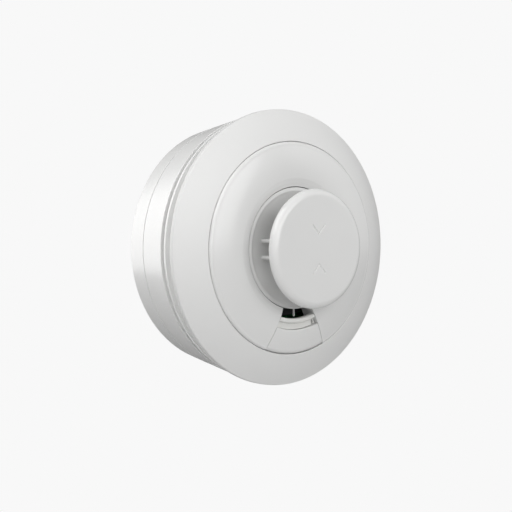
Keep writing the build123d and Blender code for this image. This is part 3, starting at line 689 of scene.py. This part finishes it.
class DETECTOR_OT_key(bpy.types.Operator):
    """Test key with its pivot pins, lugs and switch post, and the light guide at its inner end"""
    bl_idname = "detector.key"
    bl_label = "Test key"

    def execute(self, context):
        low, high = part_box("test_key")
        inner, gap, arm_gap = 37.05, 0.22, 0.47
        panel_top = [point for point in COVER_DOME if point[0] > inner + 0.6]
        panel = rounded([
            (SEAM_RADIUS - 0.2, 46.9, 0), (SEAM_RADIUS - 0.2, 47.5, 0), (47.35, 48.42, 0), *panel_top,
            (inner + 0.25, 50.78, 0), (inner, 50.5, 0), (inner, 48.6, 0), (46.0, 46.9, 0)])
        shells = [key_turned(panel, -gap)]
        arms = rounded([(33.2, 46.6, 0.1), (39.0, 46.6, 0.1), (39.0, 49.0, 0), (37.2, 49.0, 0),
                        (37.2, 47.6, 0), (33.2, 47.6, 0.1)])
        shells.append(key_turned(arms, -arm_gap))
        pivot_z, pivot_depth, pin_radius = -42.6, 45.6, 1.0
        lug, lug_x, lug_front = rounded_rectangle(1.8, 3.6, 0.4), 12.6, 47.6
        lug_rows = [(pivot_depth - 1.6, 0.9), (pivot_depth - 1.4, 1), (lug_front, 1)]
        for side in (-1, 1):
            shells.append(raised(lug, lug_rows, (side * lug_x, pivot_z)))
        pin = [(x, -pivot_depth, pivot_z) for x in np.linspace(low.x / MM, high.x / MM, 9)]
        shells.append(tube(pin, pin_radius, 32))
        post_radius, post_back, post_front, post_place = 1.4, 38.2, 47.2, (-8.0, -36.8)
        post = rounded([(0, post_back, 0), (post_radius, post_back, 0.3), (post_radius, post_front, 0),
                        (0, post_front, 0)])
        shells.append(turned(post, post_place, count=32))
        mesh_piece("test_key_panel", shells, cover_finish(context), "key", ("test_key",))

        # the lens is a lip and a strip; the strip is missing in a notch near its right end
        lens_inner, lens_outer, lens_back, lens_gap = 31.92, 36.83, 47.72, 0.37
        notch_inner, notch_start, notch_end = 34.5, 15.6, 17.3
        lip = [(lens_inner, lens_back, 0.1), *arc((lens_inner, 50.1), (32.9, 51.03), (34.0, 50.3), 10),
               (34.15, 49.3, 0)]
        lens = rounded([*lip, (lens_outer, 49.1, 0.15), (lens_outer, lens_back, 0.1)])
        notched = rounded([*lip, (notch_inner, 49.25, 0), (notch_inner, lens_back, 0)])

        def lens_side(radius):
            """Angle from the key's middle line to the lens's side at each radius"""
            return key_half_angle(radius, -lens_gap)

        shells = [
            turned(lens, start=lambda radius: KEY_ANGLE - lens_side(radius),
                   sweep=lambda radius: notch_start + lens_side(radius), count=2 * FINE),
            turned(notched, start=KEY_ANGLE + notch_start, sweep=notch_end - notch_start,
                   count=2 * FINE),
            turned(lens, start=KEY_ANGLE + notch_end,
                   sweep=lambda radius: lens_side(radius) - notch_end, count=2 * FINE)]
        mesh_piece("light_lens", shells, shared_material(diffusing_acrylic), "key", ("light_guide",))
        return {"FINISHED"}


class DETECTOR_OT_bowl(bpy.types.Operator):
    """Sensor bowl with its rounded rim, and the bar across the dark window"""
    bl_idname = "detector.bowl"
    bl_label = "Sensor bowl"

    def execute(self, context):
        section = rounded([
            *BOWL_RIM, *BOWL_SLOPE, (8.0, 44.45, 0.2), (17.5, 45.05, 0), (24.0, 47.1, 0),
            (25.0, 45.7, 0), (27.52, 45.7, 0.2)])
        bar_inner, bar_outer, bar_back, bar_front, bar_angle = 26.8, 31.1, 47.5, 48.3, 0.8
        bar = rounded([(bar_inner, bar_back, 0), (bar_outer, bar_back, 0.2), (bar_outer, bar_front, 0.3),
                       (bar_inner, bar_front, 0)])
        shells = [turned(section), turned(bar, start=KEY_ANGLE, sweep=bar_angle)]
        mesh_piece("bowl", shells, cover_finish(context), "head", ("sensor_bowl",))
        return {"FINISHED"}


class DETECTOR_OT_cap(bpy.types.Operator):
    """Sensor cap with two engraved arrow marks, on four pairs of fins that stand on the bowl"""
    bl_idname = "detector.cap"
    bl_label = "Sensor cap"

    def execute(self, context):
        sizes = context.scene.detector_sizes
        edge, underside = 62.6, 63.4
        # the rings of the face lie close together where the marks are
        marks_inner, marks_outer = 5.6, 12.4
        radii = (0, 2, 4, 5.4, *np.arange(marks_inner, marks_outer, 0.17), 13, 16, 20, 22.5)
        face = [(radius, CAP_FRONT, 0) for radius in radii]
        shoulder = arc((23.4, CAP_FRONT), (25.85, 65.05), (CAP_RADIUS - 0.01, edge + 0.6), 12)
        points = [*face, *shoulder, (CAP_RADIUS - 0.1, edge, 0), (CAP_RADIUS - 1, edge, 0),
                  (24.4, underside, 0), (0, underside, 0)]
        grid, faces = turned(np.array(points)[:, :2], count=512)
        marked = (grid[:, 1] < -CAP_FRONT + 0.01) & (np.hypot(grid[:, 0], grid[:, 2]) < marks_outer + 0.2)
        grid[marked, 1] += engraving(grid[marked], sizes.mark_depth / MM, sizes.mark_width / MM)
        shells = [(grid, faces)]
        thickness, inner, outer, offset, fin_front = 1.8, 12.6, 18.0, 3.75, 63.6
        middle = (inner + outer) / 2
        outline = stadium(outer - inner, thickness)
        for angle in (0, 90, 180, 270):
            turn = math.radians(angle)
            for side in (-offset, offset):
                centre = (middle * math.cos(turn) - side * math.sin(turn),
                          middle * math.sin(turn) + side * math.cos(turn))
                shells.append(raised(outline, [(bowl_depth, 1), (fin_front, 1)], centre, angle))
        mesh_piece("cap", shells, cover_finish(context), "head", ("sensor_cap",))
        return {"FINISHED"}


def engraving(points, depth, width):
    """How far each point sinks: a rounded groove along two V strokes, deepest on the stroke's line
    and fading to nothing at half its width, by a cosine of the distance to the nearest stroke."""
    tip_height, arm_across, arm_up = 6.8, 3.6, 4.0
    flat = points[:, [0, 2]]
    nearest = np.full(len(flat), np.inf)
    for sign in (1, -1):
        tip = np.array([0.0, tip_height * sign])
        for side in (-arm_across, arm_across):
            stroke = np.array([side, arm_up * sign])
            share = np.clip((flat - tip) @ stroke / (stroke @ stroke), 0, 1)
            nearest = np.minimum(nearest, np.linalg.norm(flat - tip - share[:, None] * stroke, axis=1))
    reach = np.clip(nearest / (width / 2), 0, 1)
    return depth * (0.5 + 0.5 * np.cos(math.pi * reach))


class DETECTOR_OT_sensor(bpy.types.Operator):
    """Dark chamber, sensor post and the thermistor bead with its two legs under the cap"""
    bl_idname = "detector.sensor"
    bl_label = "Heat sensor"

    def execute(self, context):
        black = shared_material(black_abs)
        cup_inside, cup_floor = 24.0, 33.4
        cup = rounded([(0, CHAMBER_BACK, 0), (CHAMBER_RADIUS, CHAMBER_BACK, 0.3),
                       (CHAMBER_RADIUS, CHAMBER_FRONT, 0.3), (cup_inside, CHAMBER_FRONT, 0.3),
                       (cup_inside, cup_floor, 0.3), (0, cup_floor, 0)])
        shelf_inner, shelf_outer, shelf_back, shelf_front, half_angle = 25.0, 31.35, 39.85, 41.15, 22.8
        shelf = rounded([(shelf_inner, shelf_back, 0), (shelf_outer, shelf_back, 0.3),
                         (shelf_outer, shelf_front, 0.3), (shelf_inner, shelf_front, 0)])
        shells = [turned(cup), turned(shelf, start=KEY_ANGLE - half_angle, sweep=2 * half_angle)]
        mesh_piece("chamber_cup", shells, black, "head", ("chamber_body",))
        post = rounded([(0, 33.5, 0), (6.5, 33.5, 0.2), (6.5, 34.6, 0.3), (4.9, 35.6, 0.4), (4.2, 42, 0),
                        (2.6, 48.5, 0.6), (0, 48.5, 0)])
        mesh_piece("sensor_stem", [turned(post, count=COARSE)], cover_finish(context), "head",
                   ("sensor_post",))
        # the bead is a drop: a sphere whose back half is drawn out towards its legs
        bead_radius, bead_depth, narrowing = 1.85, 57.2, 0.25
        turn = np.linspace(0, math.pi, 40)
        drop = np.stack([bead_radius * np.sin(turn), bead_depth + bead_radius * np.cos(turn)], 1)
        behind = (bead_depth - drop[:, 1]) / bead_radius
        drop[:, 0] *= np.where(behind > 0, 1 - narrowing * np.sin(behind), 1)
        mesh_piece("thermistor_bead", [turned(drop, count=COARSE)], shared_material(epoxy_coating), "head",
                   ("thermistor",))
        leg_x, leg_radius, leg_depths = 1.3, 0.28, np.linspace(31.4, 56.5, 12)
        legs = [tube([(x, -depth, 0) for depth in leg_depths], leg_radius) for x in (-leg_x, leg_x)]
        wire = shared_material(plated_metal, "tinned_wire", "#C9C8C4", 0.25, 0.4 * MM)
        mesh_piece("thermistor_legs", legs, wire, "head")
        return {"FINISHED"}


class DETECTOR_OT_inside(bpy.types.Operator):
    """Materials of the CAD nodes that stay as they are: electronics, battery, springs and screws"""
    bl_idname = "detector.inside"
    bl_label = "Inner pieces"

    def execute(self, context):
        tinned = shared_material(plated_metal, "tinned_steel", "#B9B9B4", 0.3, 0.8 * MM, (1, 1, 6))
        nickel = shared_material(plated_metal, "nickel_plate", "#CFC9BE", 0.16, 0.5 * MM)
        zinc = shared_material(plated_metal, "zinc_plate", "#B4B9BF", 0.34, 0.3 * MM)
        brass = shared_material(plated_metal, "rolled_brass", "#C9A564", 0.28, 0.5 * MM, (1, 1, 8))
        board, black = shared_material(solder_mask), shared_material(black_abs)
        nylon, jacket = shared_material(grey_nylon), shared_material(cell_jacket)
        finishes = {
            "circuit_board": board, "radio_module": board, "radio_shield": tinned, "power_pins": tinned,
            "antenna": nickel, "tamper_spring": nickel, "battery_springs": nickel,
            "battery_contacts": nickel, "board_screws": zinc, "housing_screws": zinc, "piezo_disc": brass,
            "microcontroller": shared_material(chip_epoxy), "capacitors": shared_material(capacitor_sleeve),
            "status_led": shared_material(led_epoxy), "sounder_housing": black, "test_switch": black,
            "tamper_switch": black, "chamber_lid": black, "battery_holder": nylon, "switch_plunger": nylon,
            "tamper_plunger": nylon, "battery_1": jacket, "battery_2": jacket, "battery_3": jacket,
        }
        for name, finish in finishes.items():
            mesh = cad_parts[name].data
            mesh.materials.clear()
            mesh.materials.append(finish)
        return {"FINISHED"}


class DETECTOR_OT_studio(bpy.types.Operator):
    """Pale floor and backdrop, soft lights and the camera"""
    bl_idname = "detector.studio"
    bl_label = "Studio"

    def execute(self, context):
        scene = context.scene
        paper = shared_material(backdrop_paper, tuple(scene.detector_colours.backdrop))
        floor_radius, floor_thickness, floor_level = 1.4, 0.02, -0.9
        bpy.ops.mesh.primitive_cylinder_add(
            vertices=96, radius=floor_radius, depth=floor_thickness,
            location=(0, 0, floor_level - floor_thickness / 2))
        floor = context.object
        floor.name = "studio_floor"
        floor.data.materials.append(paper)
        scene.view_settings.view_transform = "Standard"
        scene.world = studio_air(BACKDROP_LIGHT, AMBIENT_LIGHT)
        for light in SOFTBOXES:
            soft_light(*light)
        place_camera(scene)
        return {"FINISHED"}


def studio_air(seen, cast):
    """World that the camera sees as an even pale backdrop and that lights the object more weakly."""
    world = bpy.data.worlds.new("studio_air")
    world.use_nodes = True
    tree = world.node_tree
    path = add_node(tree, "ShaderNodeLightPath")
    strength = add_node(tree, "ShaderNodeMapRange", values={"To Min": cast, "To Max": seen},
                        links={"Value": path.outputs["Is Camera Ray"]})
    background = tree.nodes["Background"]
    background.inputs["Color"].default_value = (1, 1, 1, 1)
    tree.links.new(strength.outputs["Result"], background.inputs["Strength"])
    return world


def heading(azimuth, elevation):
    """Unit vector away from the object: azimuth 0 is straight in front (-Y), positive towards +X."""
    turn, rise = math.radians(azimuth), math.radians(elevation)
    return Vector((math.sin(turn) * math.cos(rise), -math.cos(turn) * math.cos(rise), math.sin(rise)))


def soft_light(name, azimuth, elevation, distance, width, height, power):
    """Rectangular softbox that faces the object."""
    light = bpy.data.lights.new(name, "AREA")
    light.shape, light.size, light.size_y, light.energy = "RECTANGLE", width, height, power
    lamp = bpy.data.objects.new(name, light)
    centre = Vector((0, -0.04, 0))
    direction = heading(azimuth, elevation)
    lamp.location = centre + direction * distance
    lamp.rotation_euler = direction.to_track_quat("Z", "Y").to_euler()
    lamp.visible_camera = False
    bpy.context.scene.collection.objects.link(lamp)


def place_camera(scene):
    """Camera to the left of the front, slightly above, aimed so that the front's rim circle stands
    right of the middle. The lens gives the object its size in the frame."""
    lens = bpy.data.cameras.new("camera")
    lens.lens, lens.sensor_width = 107.97, 36.0
    camera = bpy.data.objects.new("camera", lens)
    rim_centre = Vector((0, -RIM_DEPTH * MM, 0))
    azimuth, elevation, roll, distance = -40.968, 2.592, -0.7, 11.15 * RIM_RADIUS * MM
    direction = heading(azimuth, elevation)
    level = Vector((0, 0, 1)).cross(direction).normalized()
    right = Matrix.Rotation(math.radians(roll), 3, direction) @ level
    upward = direction.cross(right)
    frame_width = distance * lens.sensor_width / lens.lens
    aim_right, aim_up = 0.0501, -0.0166
    place = rim_centre + direction * distance
    aim = rim_centre - (right * aim_right - upward * aim_up) * frame_width
    backward = (place - aim).normalized()
    right = upward.cross(backward).normalized()
    axes = Matrix((right, backward.cross(right), backward)).transposed()
    camera.matrix_world = Matrix.Translation(place) @ axes.to_4x4()
    scene.collection.objects.link(camera)
    scene.camera = camera


class DETECTOR_PT_panel(bpy.types.Panel):
    """Lists the pieces in the 3D view's sidebar"""
    bl_idname = "DETECTOR_PT_panel"
    bl_label = "Heat detector"
    bl_space_type = "VIEW_3D"
    bl_region_type = "UI"
    bl_category = "Detector"

    def draw(self, context):
        for operator in OPERATORS:
            self.layout.operator(operator.bl_idname)
        # every property group starts with two properties of Blender's own
        for group in (context.scene.detector_sizes, context.scene.detector_colours):
            for name in group.bl_rna.properties.keys()[2:]:
                self.layout.prop(group, name)


OPERATORS = (DETECTOR_OT_base, DETECTOR_OT_housing, DETECTOR_OT_covers, DETECTOR_OT_key,
             DETECTOR_OT_bowl, DETECTOR_OT_cap, DETECTOR_OT_sensor, DETECTOR_OT_inside,
             DETECTOR_OT_studio)
CLASSES = (DetectorSizes, DetectorColours, *OPERATORS, DETECTOR_PT_panel)


def register():
    for item in CLASSES:
        bpy.utils.register_class(item)
    bpy.types.Scene.detector_sizes = bpy.props.PointerProperty(type=DetectorSizes)
    bpy.types.Scene.detector_colours = bpy.props.PointerProperty(type=DetectorColours)


def unregister():
    del bpy.types.Scene.detector_colours
    del bpy.types.Scene.detector_sizes
    for item in reversed(CLASSES):
        bpy.utils.unregister_class(item)


def main():
    register()
    for operator in OPERATORS:
        group, name = operator.bl_idname.split(".")
        getattr(getattr(bpy.ops, group), name)()


if __name__ == "__main__":
    main()
